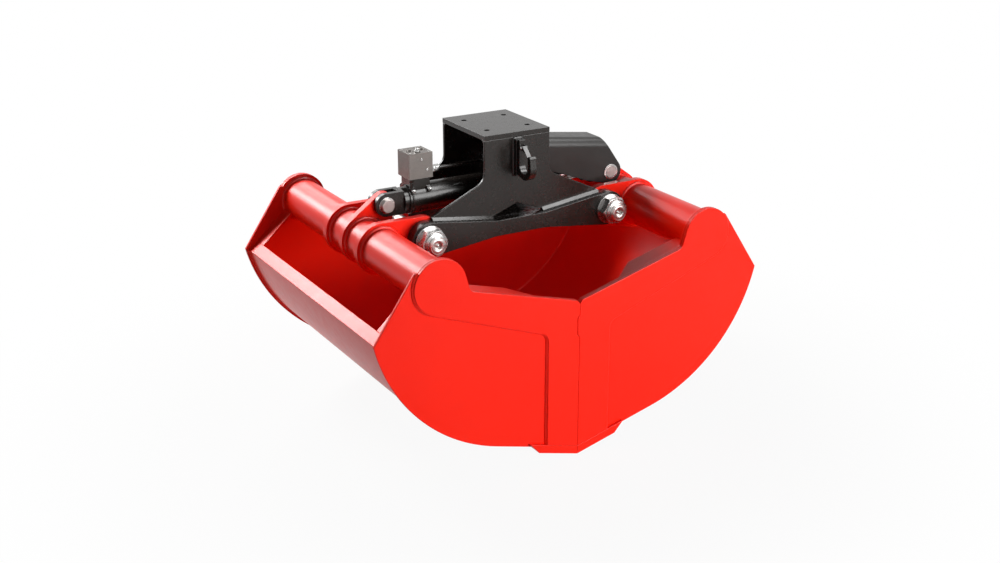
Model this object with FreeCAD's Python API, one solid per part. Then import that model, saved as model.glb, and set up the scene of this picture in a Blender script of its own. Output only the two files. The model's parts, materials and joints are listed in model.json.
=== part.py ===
import FreeCAD, Part
import math
import os

# Hydraulic clamshell bucket for a loader crane. Two welded jaws hang from the beams of a frame on
# one hinge pin each, and a single cylinder above the hinges pushes their lugs apart to close them.
# Units are millimetres. X runs across the mouth, from the left jaw to the right jaw, Y along the
# cutting edges, from front to rear, and Z up. The origin is the centre of the mounting face on top
# of the frame, where the rotator is bolted on. The jaws are modelled closed.

# ---- Frame ----
mount_length = 232.0            # mounting plate along X
mount_depth = 270.0             # mounting plate along Y
mount_plate = 15.0              # its thickness
mount_hole_spacing = 145.0      # square pattern of rotator bolts
mount_hole_radius = 8.75
side_plate = 10.0               # the frame's side plates
side_bend_radius = 40.0         # where a side plate widens into its feet
foot_half_span = 300.0          # outer end of a foot from the centre plane
foot_end_height = 8.0
foot_slope = 25.0               # degrees, upper edge of a foot
notch_half_width = 85.0         # opening between the feet
notch_step = 6.0
notch_height = 38.0
beam_thickness = 37.5
beam_boss_radius = 55.0
beam_waist_half = 90.0          # half length of the slender middle of a beam
beam_waist_top = 24.0           # above the hinge axis
beam_waist_bottom = -26.0       # below it
frame_weld = 9.0                # leg of the fillet welds
cross_plate = 10.0              # plate that ties the beams together under the cylinder
cross_plate_half = 130.0        # half its length

# ---- Hinges ----
hinge_drop = 288.0              # mounting face to hinge axis
hinge_half_span = 326.0         # hinge axis from the centre plane
hinge_pin_radius = 27.5
hinge_thread_radius = 26.0
hinge_pin_half = 224.0
hinge_washer = 8.0
hinge_washer_radius = 48.0
hinge_nut = 33.0
hinge_nut_flats = 80.0
nut_chamfer = 5.0
recess_radius = 12.0            # greasing recess in the pin's end
recess_depth = 10.0
nipple_radius = 5.0
nipple_tip_radius = 3.2
nipple_height = 5.5
nipple_tip_height = 9.5
thrust_washer = 2.4
thrust_washer_radius = 50.0

# ---- Jaws ----
half_width = 500.0              # centre plane to the outer face of a side band
hinge_height = 649.0            # hinge axis above the closed cutting edges
cheek = 10.0
band = 10.0                     # reinforcing band on the outside of a cheek
band_width = 109.0              # along the mouth
mouth_gap = 0.5                 # between the closed jaws
mouth_height = 504.0            # cutting edge to the cheek's upper corner at the mouth
mouth_chamfer = 9.0
tongue_depth = 7.0              # locating tongue of the right jaw in a notch of the left
tongue_bottom = 390.0
tongue_top = 458.0
tongue_gap = 1.0
shoulder = (370.0, 604.0)       # where the upper edge meets the disc round the tube, above the edge
shoulder_radius = 22.0
disc_end_angle = 37.5           # degrees, on the disc, where the level top behind it begins
back_corner_x = 541.0
heel = (671.5, 490.0)           # outermost corner of a cheek
floor_angle = 14.9              # degrees, slope of the bottom away from the mouth
floor_end_x = 280.0             # where the flat bottom turns into the round back
band_corner = (109.0, 417.0)    # inner corner of the band, before rounding
band_corner_radius = 32.0
disc_radius = 83.0
shell = 8.0
shell_inset = 10.0              # the cheeks stand proud of the shell by this
shell_start_x = 34.0
flange_angle = 43.0             # degrees, rise of the folded edge of the shell
flange_length = 40.0
lip_thickness = 26.0
lip_length = 142.0
lip_back_angle = 48.0           # degrees, bevel of the lip's rear edge
tube_reach = 139.0              # hinge axis to the centre of the tube, along X
tube_drop = 15.5                # and below it
tube_radius = 66.5
tube_wall = 8.0
strip_width = 55.0              # stiffening strips inside the cheeks
gusset = 8.0
gusset_point_x = 150.0
gusset_full_x = 220.0
tube_weld = 7.0
arm = 25.0
arm_ring_radius = 81.0
arm_boss_radius = 65.0
arm_bush_radius = 35.0

# ---- Cylinder ----
lug = 25.0
lug_half_span = 399.0           # cylinder pins from the centre plane
lug_rise = 86.4                 # cylinder axis above the hinge axis
lug_radius = 36.0
lug_ring_radius = 79.0
lug_bush_radius = 25.0
lug_pin_radius = 20.0
left_pin_half = 45.0
right_pin_half = 67.0
retaining_ring = 3.0
retaining_ring_radius = 25.5
fork_half_width = 30.0
fork_slot_half = 14.0
fork_slot_depth = 44.0
fork_length = 60.0
base_collar = 16.0
base_collar_radius = 40.0
base_flange = 10.0
base_spigot = 23.0
rod_collar = 14.0
rod_collar_radius = 34.0
rod_thread = 20.0
rod_thread_radius = 14.0
barrel_radius = 45.0
bore_radius = 37.5
barrel_length = 375.0
gland_inside = 50.0
gland_flange = 10.0
wiper = 4.0
wiper_radius = 28.0
rod_radius = 22.5
piston = 50.0
piston_backset = 2.0            # piston face to gland with the jaws closed
seal_width = 8.0
seal_depth = 5.0

# ---- Rod guard ----
guard_sheet = 4.0
guard_half_width = 63.0
guard_back_x = 70.0
guard_bend = 30.0               # outer radius of its folds
guard_top_back = 154.0          # heights above the cylinder axis
guard_bottom_back = 70.0
guard_top_x = 369.0
guard_top_front = 115.0
guard_belly_x = 310.0
guard_belly = -18.0
guard_nose_radius = 41.0
guard_spacer_radius = 28.0

# ---- Valve and pressure pipe ----
block_x = -284.0                # centre of the valve block
block_length = 80.0
block_width = 78.0
block_height = 80.0
block_rise = 70.0               # cylinder axis to the underside of the block
saddle_length = 68.0
saddle_width = 60.0
band_clip = 13.0
band_clip_rise = 28.0           # cylinder axis to the lower ends of the clips
band_clip_wall = 7.0
port_radius = 8.5
port_depth = 16.0
port_offset = 20.0
plug_radius = 4.0
plug_length = 9.0
plug_proud = 1.5
upper_plug = (2.0, 60.0)        # from the block's centre, and above its underside
lower_plug = (20.0, 26.4)
fitting_flats = 24.0
fitting_nut = 20.0
fitting_stem = 18.0
fitting_stem_radius = 9.0
pipe_radius = 5.5
pipe_rise = 85.0                # cylinder axis to pipe axis at the block
pipe_low_rise = 62.0            # and at the barrel's port
pipe_bend = 30.0
port_x = 40.0
port_boss_radius = 12.0
port_boss_top = 78.0
port_socket = 20.0
port_socket_radius = 8.5

# ---- Lifting hook ----
hook_base_width = 30.0
hook_base = 18.0
hook_base_height = 115.0
hook_top_drop = 20.0            # mounting face to the top of the hook
hook_width = 22.0
hook_throat = 23.5              # radius of the saddle
hook_bowl = 43.0                # outer radius of the bowl
hook_shank = 30.0               # side plate to the inner face of the shank
hook_centre_drop = 97.0         # mounting face to the centre of the bowl
hook_tip_rise = 38.0            # centre of the bowl to the top of the tip
hook_tip_inside = 8.0           # from the tip down to where its rounding starts, inside
hook_tip_outside = 10.0         # and outside
hook_foot_rise = 4.0            # base plate's lower end to the hook's
latch_pivot_drop = 42.0
latch_sheet = 2.0
latch_width = 14.0
latch_pin_radius = 3.0
latch_ear_radius = 7.0
spring_wire = 1.0
spring_radius = 4.3
spring_turns = 3
spring_pitch = 2.2

# ---- Fits ----
seat = 0.02                     # radial gap of a piece pressed or bolted into its seat
running = 0.05                  # radial gap of a shaft that turns or slides
near = 0.3                      # gap beside a curved or a moving face

V = FreeCAD.Vector
hinge_z = -hinge_drop
edge_z = hinge_z - hinge_height
lug_z = hinge_z + lug_rise
tube_x = hinge_half_span + tube_reach
tube_z = hinge_z - tube_drop
side_outer = mount_depth / 2
side_inner = side_outer - side_plate
arm_outer = side_inner - near
arm_inner = arm_outer - arm
beam_inner = arm_outer + thrust_washer + 2 * near / 3
beam_outer = beam_inner + beam_thickness
cheek_outer = half_width - band
cheek_inner = cheek_outer - cheek
ACROSS = V(1, 0, 0)
ALONG = V(0, 1, 0)
UP = V(0, 0, 1)


# ---- Drawing helpers: an outline lies in the X-Z plane, as (x, z) pairs ----

def at(point):
    return V(point[0], 0, point[1])


def outline(start, *steps):
    """Closed wire; a step is the next corner, or (a point on an arc, its end)."""
    edges = []
    here = start
    for step in steps + (start,):
        if isinstance(step[0], tuple):
            through, end = step
            edges.append(Part.Arc(at(here), at(through), at(end)).toShape())
        else:
            end = step
            if math.dist(here, end) > 1e-6:
                edges.append(Part.LineSegment(at(here), at(end)).toShape())
        here = end
    return Part.Wire(edges)


def slab(wire, y_from, y_to):
    face = Part.Face(wire)
    face.translate(V(0, y_from, 0))
    return face.extrude(V(0, y_to - y_from, 0))


def polar(centre, radius, degrees):
    angle = math.radians(degrees)
    return (centre[0] + radius * math.cos(angle), centre[1] + radius * math.sin(angle))


def heading(start, end):
    return math.degrees(math.atan2(end[1] - start[1], end[0] - start[0]))


def touch(point, centre, radius, side):
    """Where the tangent from a point meets a circle, on the left (+1) or right (-1) of it."""
    away = math.dist(point, centre)
    turn = math.degrees(math.acos(radius / away))
    return polar(centre, radius, heading(centre, point) - side * turn)


def rounded(before, corner, after, radius):
    """Start, middle and end of the arc that rounds a corner."""
    first = heading(corner, before)
    second = heading(corner, after)
    half = ((second - first + 180) % 360 - 180) / 2
    reach = radius / math.tan(math.radians(abs(half)))
    centre = polar(corner, radius / math.sin(math.radians(abs(half))), first + half)
    start = polar(corner, reach, first)
    end = polar(corner, reach, second)
    return start, polar(centre, radius, heading(centre, corner)), end


def link(first, first_radius, second, second_radius):
    """Outline round two circles and their outer tangents."""
    course = heading(first, second)
    lean = math.degrees(math.acos((first_radius - second_radius) / math.dist(first, second)))
    a, b = course + lean, course - lean
    return outline(polar(first, first_radius, a),
                   (polar(first, first_radius, course + 180), polar(first, first_radius, b)),
                   polar(second, second_radius, b),
                   (polar(second, second_radius, course), polar(second, second_radius, a)))


def round_y(radius, y_from, y_to, x, z):
    low = min(y_from, y_to)
    return Part.makeCylinder(radius, abs(y_to - y_from), V(x, low, z), ALONG)


def round_x(radius, x_from, x_to, z=lug_z):
    return Part.makeCylinder(radius, x_to - x_from, V(x_from, 0, z), ACROSS)


def ring_y(outer, inner, y_from, y_to, x, z):
    return round_y(outer, y_from, y_to, x, z).cut(round_y(inner, y_from, y_to, x, z))


def block(x_from, x_to, y_from, y_to, z_from, z_to):
    return Part.makeBox(x_to - x_from, y_to - y_from, z_to - z_from, V(x_from, y_from, z_from))


def to_left(shape):
    return shape.mirror(V(0, 0, 0), ACROSS)


def to_front(shape):
    return shape.mirror(V(0, 0, 0), ALONG)


def front_and_rear(shape):
    return [to_front(shape), shape]


def hexagon(flats, length, base, direction):
    """Hexagon bar with chamfered ends, along a direction from its base."""
    corner = flats / math.sqrt(3)
    points = [V(*polar((0, 0), corner, 60 * k), 0) for k in range(7)]
    bar = Part.Face(Part.makePolygon(points)).extrude(V(0, 0, length))
    trim = min(nut_chamfer, length / 4, flats / 12)
    envelope = Part.makeCylinder(corner, length)
    rims = [edge for edge in envelope.Edges if isinstance(edge.Curve, Part.Circle)]
    bar = bar.common(envelope.makeChamfer(trim, rims))
    bar.Placement = FreeCAD.Placement(base, FreeCAD.Rotation(UP, direction))
    return bar


# ---- Frame ----

def boss_tangent(waist_point, side):
    return touch(waist_point, (hinge_half_span, hinge_z), beam_boss_radius, side)


def frame_top_plate():
    plate = block(-mount_length / 2, mount_length / 2, -side_outer, side_outer, -mount_plate, 0)
    for sx in (-1, 1):
        for sy in (-1, 1):
            centre = V(sx * mount_hole_spacing / 2, sy * mount_hole_spacing / 2, -mount_plate)
            plate = plate.cut(Part.makeCylinder(mount_hole_radius, mount_plate, centre))
    return plate


def foot_line(x):
    """Height of a beam's sloping upper edge, which carries the foot, at x."""
    inner = (beam_waist_half, hinge_z + beam_waist_top)
    outer = boss_tangent(inner, 1)
    return inner[1] + (x - inner[0]) * (outer[1] - inner[1]) / (outer[0] - inner[0])


def frame_side():
    """Rear side plate: a tall panel that widens into two feet, with a notch between them."""
    half = mount_length / 2
    foot_top = foot_line(foot_half_span) + foot_end_height
    knee = (half, foot_top + (foot_half_span - half) * math.tan(math.radians(foot_slope)))
    bend = rounded((half, 0), knee, (foot_half_span, foot_top), side_bend_radius)
    notch_top = hinge_z + beam_waist_top + notch_height
    heel_z = hinge_z + beam_waist_top

    def left(point):
        return (-point[0], point[1])

    right_side = [(half, -mount_plate), bend[0], (bend[1], bend[2]), (foot_half_span, foot_top),
                  (foot_half_span, foot_line(foot_half_span)), (beam_waist_half, heel_z),
                  (notch_half_width, heel_z + notch_step), (0, notch_top)]
    left_side = [left((notch_half_width, heel_z + notch_step)), left((beam_waist_half, heel_z)),
                 left((foot_half_span, foot_line(foot_half_span))), left((foot_half_span, foot_top)),
                 left(bend[2]), (left(bend[1]), left(bend[0])), left((half, -mount_plate))]
    return slab(outline(*right_side, *left_side), side_inner, side_outer)


def frame_beam():
    """Rear beam: slender in the middle, with a round boss for each hinge pin."""
    upper = (beam_waist_half, hinge_z + beam_waist_top)
    lower = (beam_waist_half, hinge_z + beam_waist_bottom)
    upper_touch = boss_tangent(upper, 1)
    lower_touch = boss_tangent(lower, -1)
    tip = (hinge_half_span + beam_boss_radius, hinge_z)
    wire = outline((-upper[0], upper[1]), upper, upper_touch, (tip, lower_touch), lower,
                   (-lower[0], lower[1]), (-lower_touch[0], lower_touch[1]),
                   ((-tip[0], tip[1]), (-upper_touch[0], upper_touch[1])))
    beam = slab(wire, beam_inner, beam_outer)
    for sx in (-1, 1):
        beam = beam.cut(round_y(hinge_pin_radius + seat, beam_inner, beam_outer,
                                sx * hinge_half_span, hinge_z))
    return beam


def frame_cross_plate():
    top = hinge_z + beam_waist_top
    return block(-cross_plate_half, cross_plate_half, -beam_inner, beam_inner,
                 top - cross_plate, top)


def fillet_bar(corner, toward_y, rise, run):
    """Triangular weld bead from a corner point, along the vector run."""
    points = [corner, corner + V(0, toward_y, 0), corner + V(0, 0, rise), corner]
    return Part.Face(Part.makePolygon(points)).extrude(run)


def frame_welds():
    beads = []
    start = V(beam_waist_half, side_outer, foot_line(beam_waist_half))
    run = V(foot_half_span, side_outer, foot_line(foot_half_span)) - start
    foot_bead = fillet_bar(start, frame_weld, frame_weld, run)
    half = mount_length / 2
    top_bead = fillet_bar(V(-half, side_inner, -mount_plate), -frame_weld, -frame_weld,
                          V(mount_length, 0, 0))
    for bead in (foot_bead, to_left(foot_bead), top_bead):
        beads += front_and_rear(bead)
    return beads


def hinge_pin(sx):
    x = sx * hinge_half_span
    pin = round_y(hinge_pin_radius, -beam_outer, beam_outer, x, hinge_z)
    pin = pin.fuse(round_y(hinge_thread_radius, -hinge_pin_half, hinge_pin_half, x, hinge_z))
    for sy in (-1, 1):
        end = sy * hinge_pin_half
        pin = pin.cut(round_y(recess_radius, end - sy * recess_depth, end, x, hinge_z))
    return pin.removeSplitter()


def at_pin_ends(make):
    """The same piece on both ends of both hinge pins; make(x, sy) builds one."""
    return [make(sx * hinge_half_span, sy) for sx in (-1, 1) for sy in (-1, 1)]


def pin_washer(x, sy):
    return ring_y(hinge_washer_radius, hinge_thread_radius + near,
                  sy * beam_outer, sy * (beam_outer + hinge_washer), x, hinge_z)


def pin_nut(x, sy):
    seat_y = beam_outer + hinge_washer
    nut = hexagon(hinge_nut_flats, hinge_nut, V(x, sy * seat_y, hinge_z), V(0, sy, 0))
    return nut.cut(round_y(hinge_thread_radius + seat, sy * seat_y, sy * (seat_y + hinge_nut),
                           x, hinge_z))


def grease_nipple(x, sy):
    floor = sy * (hinge_pin_half - recess_depth)
    body = round_y(nipple_radius, floor, floor + sy * nipple_height, x, hinge_z)
    tip = round_y(nipple_tip_radius, floor, floor + sy * nipple_tip_height, x, hinge_z)
    return body.fuse(tip).removeSplitter()


def thrust_ring(x, sy):
    inner = arm_outer + near / 3
    return ring_y(thrust_washer_radius, hinge_pin_radius + near,
                  sy * inner, sy * (inner + thrust_washer), x, hinge_z)


# ---- Lifting hook on the front side plate: outlines are drawn as (distance from plate, z) ----

def on_front(shape):
    """Turns a hook piece so that its X points out of the front side plate."""
    shape.rotate(V(0, 0, 0), UP, -90)
    shape.translate(V(0, -side_outer, 0))
    return shape


def hook_base_plate():
    top = -hook_top_drop
    return block(-hook_base_width / 2, hook_base_width / 2, -side_outer - hook_base, -side_outer,
                 top - hook_base_height, top)


def hook_body():
    top = -hook_top_drop
    centre = (hook_shank + hook_throat, -hook_centre_drop)
    tip_top = centre[1] + hook_tip_rise
    tip_in = centre[0] + hook_throat
    tip_out = centre[0] + hook_bowl
    foot = top - hook_base_height + hook_foot_rise
    lowest = (centre[0], centre[1] - hook_bowl)
    wire = outline((hook_base, top), (hook_shank, top), (hook_shank, centre[1]),
                   ((centre[0], centre[1] - hook_throat), (tip_in, centre[1])),
                   (tip_in, tip_top - hook_tip_inside),
                   (((tip_in + tip_out) / 2, tip_top), (tip_out - 4, tip_top - hook_tip_outside)),
                   (tip_out, centre[1]), (polar(centre, hook_bowl, -45), lowest),
                   (hook_base, foot))
    return on_front(slab(wire, -hook_width / 2, hook_width / 2))


def latch_pivot():
    return (hook_shank + latch_ear_radius, -latch_pivot_drop)


def hook_latch():
    """Sheet latch with two ears on its pin, closing the throat from the shank to the tip."""
    pivot = latch_pivot()
    centre = (hook_shank + hook_throat, -hook_centre_drop)
    reach = (centre[0] + hook_throat - near, centre[1] + hook_tip_rise - 12)
    lean = heading(pivot, reach)
    plate_top = [polar(pivot, latch_ear_radius, lean + 90), polar(reach, 0, lean)]
    normal = polar((0, 0), latch_sheet, lean - 90)
    plate = outline(plate_top[0], plate_top[1],
                    (plate_top[1][0] + normal[0], plate_top[1][1] + normal[1]),
                    (plate_top[0][0] + normal[0], plate_top[0][1] + normal[1]))
    ear = link(pivot, latch_ear_radius, polar(pivot, 2.2 * latch_ear_radius, lean), 2.5)
    half = latch_width / 2
    latch = slab(plate, -half, half)
    for y_from, y_to in ((-half, -half + latch_sheet), (half - latch_sheet, half)):
        latch = latch.fuse(slab(ear, y_from, y_to))
    hole = round_y(latch_pin_radius + running, -half, half, *pivot)
    return on_front(latch.cut(hole).removeSplitter())


def hook_latch_pin():
    half = hook_width / 2
    return on_front(round_y(latch_pin_radius, -half, half, *latch_pivot()))


def pin_cheeks():
    """Two small ears on the shank that hold the latch pin, outside the latch."""
    pivot = latch_pivot()
    inner = latch_width / 2 + near
    ears = []
    for y_from, y_to in ((-hook_width / 2, -inner), (inner, hook_width / 2)):
        ear = slab(link(pivot, latch_ear_radius, (hook_shank - 4, pivot[1]), latch_ear_radius),
                   y_from, y_to)
        ears.append(ear.cut(round_y(latch_pin_radius + seat, y_from, y_to, *pivot)))
    return ears


def hook_with_ears():
    body = hook_body()
    for ear in pin_cheeks():
        body = body.fuse(on_front(ear))
    return body.removeSplitter()


def hook_latch_spring():
    helix = Part.makeHelix(spring_pitch, spring_pitch * spring_turns, spring_radius)
    wire = Part.Wire(helix.Edges)
    profile = Part.Wire(Part.makeCircle(spring_wire / 2, V(spring_radius, 0, 0), ALONG))
    coil = wire.makePipeShell([profile], True, True)
    coil.translate(V(0, 0, -spring_pitch * spring_turns / 2))
    coil.rotate(V(0, 0, 0), ACROSS, 90)
    coil.translate(at(latch_pivot()))
    return on_front(coil)


# ---- Jaws, drawn as the right one ----

def level(point):
    """A point whose height is given above the closed cutting edge."""
    return (point[0], edge_z + point[1])


slope = math.tan(math.radians(floor_angle))
# Height of the cheek's lower edge, carried on to the mouth: the shell lies on top of the lip
floor_start = (lip_thickness - shell_inset) / math.cos(math.radians(floor_angle))
face_x = mouth_gap / 2
tube_centre = (tube_x, tube_z)
hinge_centre = (hinge_half_span, hinge_z)
lug_centre = (lug_half_span, lug_z)
heel_corner = level(heel)
shoulder_corner = level(shoulder)
disc_end = polar(tube_centre, disc_radius, disc_end_angle)
back_corner = (back_corner_x, disc_end[1])
floor_end = level((floor_end_x, floor_start + floor_end_x * slope))


def back_arc():
    """Centre and radius of the round back: tangent to the flat bottom, ending at the heel."""
    step = (heel_corner[0] - floor_end[0], heel_corner[1] - floor_end[1])
    normal = polar((0, 0), 1, floor_angle + 90)
    radius = (step[0] ** 2 + step[1] ** 2) / (2 * (step[0] * normal[0] + step[1] * normal[1]))
    return (floor_end[0] + radius * normal[0], floor_end[1] + radius * normal[1]), radius


back_centre, back_radius = back_arc()
lip_tip = (face_x, edge_z)
lip_bottom = polar((0, edge_z), lip_length, floor_angle)


def lip_top(x):
    return edge_z + lip_thickness / math.cos(math.radians(floor_angle)) + x * slope


def lip_back_top():
    """Where the bevelled rear edge of the lip reaches its upper face."""
    rise = math.tan(math.radians(lip_back_angle))
    run = (lip_top(lip_bottom[0]) - lip_bottom[1]) / (rise - slope)
    return (lip_bottom[0] + run, lip_bottom[1] + run * rise)


def jaw_lip():
    rear = lip_back_top()
    wire = outline(lip_tip, lip_bottom, rear, (face_x, lip_top(face_x)))
    return slab(wire, -half_width, half_width)


def lip_seat():
    """Lower edge of a cheek along the lip, from the mouth to where it stands free behind it."""
    rear = lip_back_top()
    rise = math.tan(math.radians(lip_back_angle))
    start = edge_z + floor_start
    x = (start - rear[1] + rear[0] * rise) / (rise - slope)
    return [(face_x, lip_top(face_x)), rear, (x, start + x * slope)]


def mouth_corner():
    top = edge_z + mouth_height
    rise = (shoulder_corner[1] - top) / shoulder_corner[0]
    return [(face_x, top - mouth_chamfer), (face_x + mouth_chamfer, top + mouth_chamfer * rise)]


def disc_start():
    """Rounding between the upper edge and the disc, and where the disc begins."""
    rise = touch(shoulder_corner, tube_centre, disc_radius, 1)
    bend = rounded(mouth_corner()[1], shoulder_corner, rise, shoulder_radius)
    return bend, rise


def jaw_cheek():
    """Rear cheek: mouth edge, upper edge, disc round the tube, back edge, round back, flat bottom."""
    seat_points = lip_seat()
    bend, rise = disc_start()
    middle = (heading(back_centre, floor_end) + heading(back_centre, heel_corner)) / 2
    wire = outline(seat_points[0], *mouth_corner(), bend[0], (bend[1], bend[2]), rise,
                   ((tube_x, tube_z + disc_radius), disc_end), back_corner, heel_corner,
                   (polar(back_centre, back_radius, middle), floor_end),
                   seat_points[2], seat_points[1])
    return slab(wire, cheek_inner, cheek_outer)


def jaw_band(locator):
    """Rear band: an angle along the mouth and the upper edge that ends in a disc round the tube.
    The locator is +1 for the jaw with the tongue, -1 for the one with the notch."""
    bend, rise = disc_start()
    corner = level(band_corner)
    leave = touch(corner, tube_centre, disc_radius, -1)
    inner = (band_width, lip_top(band_width))
    turn = rounded(leave, (band_width, corner[1]), inner, band_corner_radius)
    side_of_disc = polar(tube_centre, disc_radius, 20)
    wire = outline((face_x, lip_top(face_x)), *mouth_corner(), bend[0], (bend[1], bend[2]), rise,
                   (side_of_disc, leave), turn[0], (turn[1], turn[2]), inner)
    plate = slab(wire, cheek_outer, half_width)
    low, high = edge_z + tongue_bottom, edge_z + tongue_top
    taper = tongue_depth
    if locator > 0:
        tongue = outline((face_x, low), (face_x - tongue_depth, low + taper),
                         (face_x - tongue_depth, high - taper), (face_x, high))
        return plate.fuse(slab(tongue, cheek_outer, half_width)).removeSplitter()
    gap = tongue_gap
    depth = tongue_depth + gap
    notch = outline((0, low - gap), (face_x, low - gap), (face_x + depth, low + taper - gap),
                    (face_x + depth, high - taper + gap), (face_x, high + gap), (0, high + gap))
    return plate.cut(slab(notch, cheek_outer, half_width))


def flange_root():
    """Fold of the shell, where its outer face reaches the height of the heel."""
    radius = back_radius - shell_inset
    drop = heel_corner[1] - shell_inset / 2 - back_centre[1]
    return (back_centre[0] + math.sqrt(radius ** 2 - drop ** 2), back_centre[1] + drop)


def flange_line(depth, along):
    """Point on the folded edge: depth below its outer face, along it from the fold."""
    course = 180 - flange_angle
    start = polar(flange_root(), depth, course + 90)
    return polar(start, along, course)


def fold_inside():
    """Where the inner faces of the folded edge and of the round back meet."""
    course = math.radians(180 - flange_angle)
    start = flange_line(shell, 0)
    step = (math.cos(course), math.sin(course))
    away = (start[0] - back_centre[0], start[1] - back_centre[1])
    radius = back_radius - shell_inset - shell
    b = away[0] * step[0] + away[1] * step[1]
    c = away[0] ** 2 + away[1] ** 2 - radius ** 2
    along = -b - math.sqrt(b * b - c)
    return (start[0] + along * step[0], start[1] + along * step[1])


def jaw_shell():
    """Sheet from the lip round the back of the jaw, with its upper edge folded inwards."""
    normal = polar((0, 0), 1, floor_angle + 90)

    def shifted(point, depth):
        return (point[0] + depth * normal[0], point[1] + depth * normal[1])

    start = level((shell_start_x, floor_start + shell_start_x * slope))
    root = flange_root()
    crease = fold_inside()
    outer_radius = back_radius - shell_inset
    inner_radius = outer_radius - shell
    middle = (heading(back_centre, floor_end) + heading(back_centre, heel_corner)) / 2
    inner_end = shifted(floor_end, shell_inset + shell)
    wire = outline(shifted(start, shell_inset), shifted(floor_end, shell_inset),
                   (polar(back_centre, outer_radius, middle), root),
                   flange_line(0, flange_length), flange_line(shell, flange_length), crease,
                   (polar(back_centre, inner_radius, middle), inner_end),
                   shifted(start, shell_inset + shell))
    return slab(wire, -cheek_inner, cheek_inner)


def jaw_tube():
    return ring_y(tube_radius, tube_radius - tube_wall, -cheek_inner, cheek_inner, *tube_centre)


def jaw_arm():
    plate = slab(link(hinge_centre, arm_boss_radius, tube_centre, arm_ring_radius),
                 arm_inner, arm_outer)
    for radius, centre in ((tube_radius, tube_centre), (arm_bush_radius, hinge_centre)):
        plate = plate.cut(round_y(radius + seat, arm_inner, arm_outer, *centre))
    return plate


def jaw_lug():
    plate = slab(link(lug_centre, lug_radius, tube_centre, lug_ring_radius), -lug / 2, lug / 2)
    for radius, centre in ((tube_radius, tube_centre), (lug_bush_radius, lug_centre)):
        plate = plate.cut(round_y(radius + seat, -lug / 2, lug / 2, *centre))
    return plate


def jaw_bushes():
    arm_bush = ring_y(arm_bush_radius, hinge_pin_radius + running, arm_inner, arm_outer,
                      *hinge_centre)
    lug_bush = ring_y(lug_bush_radius, lug_pin_radius + running, -lug / 2, lug / 2, *lug_centre)
    return front_and_rear(arm_bush) + [lug_bush]


def jaw_corner_strips():
    """Strips inside the cheeks: one from the fold to the tube, one under the upper edge."""
    inner = cheek_inner - strip_width
    clear = round_y(tube_radius + near, inner, cheek_inner, *tube_centre).fuse(
        round_y(tube_radius + tube_weld + near, cheek_inner - tube_weld, cheek_inner, *tube_centre))
    reach = math.dist(flange_root(), tube_centre)
    back = slab(outline(flange_line(0, flange_length), flange_line(0, reach),
                        flange_line(shell, reach), flange_line(shell, flange_length)),
                inner, cheek_inner).cut(clear)
    back = min(back.Solids, key=lambda solid: -solid.CenterOfMass.x)
    top = mouth_corner()[1]
    rise = (shoulder_corner[1] - top[1]) / (shoulder_corner[0] - top[0])

    def edge(x, below=0.0):
        return (x, top[1] + (x - top[0]) * rise - below)

    strip = slab(outline(edge(gusset_point_x), edge(tube_x), edge(tube_x, gusset),
                         edge(gusset_point_x, gusset)), inner, cheek_inner).cut(clear)
    strip = min(strip.Solids, key=lambda solid: solid.CenterOfMass.x)
    plan = [V(gusset_point_x, cheek_inner, edge_z), V(gusset_full_x, inner, edge_z),
            V(tube_x, inner, edge_z), V(tube_x, cheek_inner, edge_z),
            V(gusset_point_x, cheek_inner, edge_z)]
    strip = strip.common(Part.Face(Part.makePolygon(plan)).extrude(V(0, 0, -edge_z)))
    return front_and_rear(back) + front_and_rear(strip)


def weld_ring(y, toward):
    """Fillet weld round the tube against a plate face at y, on the side it points toward."""
    cone = Part.makeCone(tube_radius + tube_weld, tube_radius + near, tube_weld,
                         V(tube_x, y, tube_z), V(0, toward, 0))
    return cone.cut(round_y(tube_radius, y - tube_weld, y + tube_weld, *tube_centre))


def jaw_tube_welds():
    rings = []
    for y, toward in ((cheek_inner, -1), (arm_outer, 1), (arm_inner, -1), (lug / 2, 1)):
        rings += front_and_rear(weld_ring(y, toward))
    return rings


# ---- Cylinder: along X through the lug pins, drawn from its left pin ----

left_pin_x = -lug_half_span
base_end = left_pin_x + fork_length + base_collar + base_flange
barrel_end = base_end + barrel_length
rod_fork_end = lug_half_span - fork_length - rod_collar
gland_start = barrel_end - gland_inside
piston_end = gland_start - piston_backset


def fork():
    """Two ears on the left lug pin and the block that joins them, as far as its collar."""
    end = left_pin_x + fork_length
    high, low = lug_z + lug_radius, lug_z - lug_radius
    wire = outline((end, high), (left_pin_x, high),
                   ((left_pin_x - lug_radius, lug_z), (left_pin_x, low)), (end, low))
    body = slab(wire, -fork_half_width, fork_half_width)
    slot_end = left_pin_x + fork_slot_depth
    slot = block(left_pin_x - 2 * lug_radius, slot_end, -fork_slot_half, fork_slot_half,
                 lug_z - 2 * lug_radius, lug_z + 2 * lug_radius)
    hole = round_y(lug_pin_radius + seat, -fork_half_width, fork_half_width, left_pin_x, lug_z)
    return body.cut(slot).cut(hole)


def cylinder_fork():
    collar = left_pin_x + fork_length
    flange = collar + base_collar
    body = fork().fuse(round_x(base_collar_radius, collar, flange))
    body = body.fuse(round_x(barrel_radius, flange, base_end))
    return body.fuse(round_x(bore_radius - seat, base_end, base_end + base_spigot)).removeSplitter()


def cylinder_barrel():
    tube = round_x(barrel_radius, base_end, barrel_end)
    return tube.cut(round_x(bore_radius, base_end, barrel_end))


def cylinder_gland():
    body = round_x(bore_radius - seat, gland_start, barrel_end)
    body = body.fuse(round_x(barrel_radius, barrel_end, barrel_end + gland_flange))
    return body.cut(round_x(rod_radius + running, gland_start, barrel_end + gland_flange))


def cylinder_wiper():
    start = barrel_end + gland_flange
    return round_x(wiper_radius, start, start + wiper).cut(
        round_x(rod_radius + running, start, start + wiper))


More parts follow.
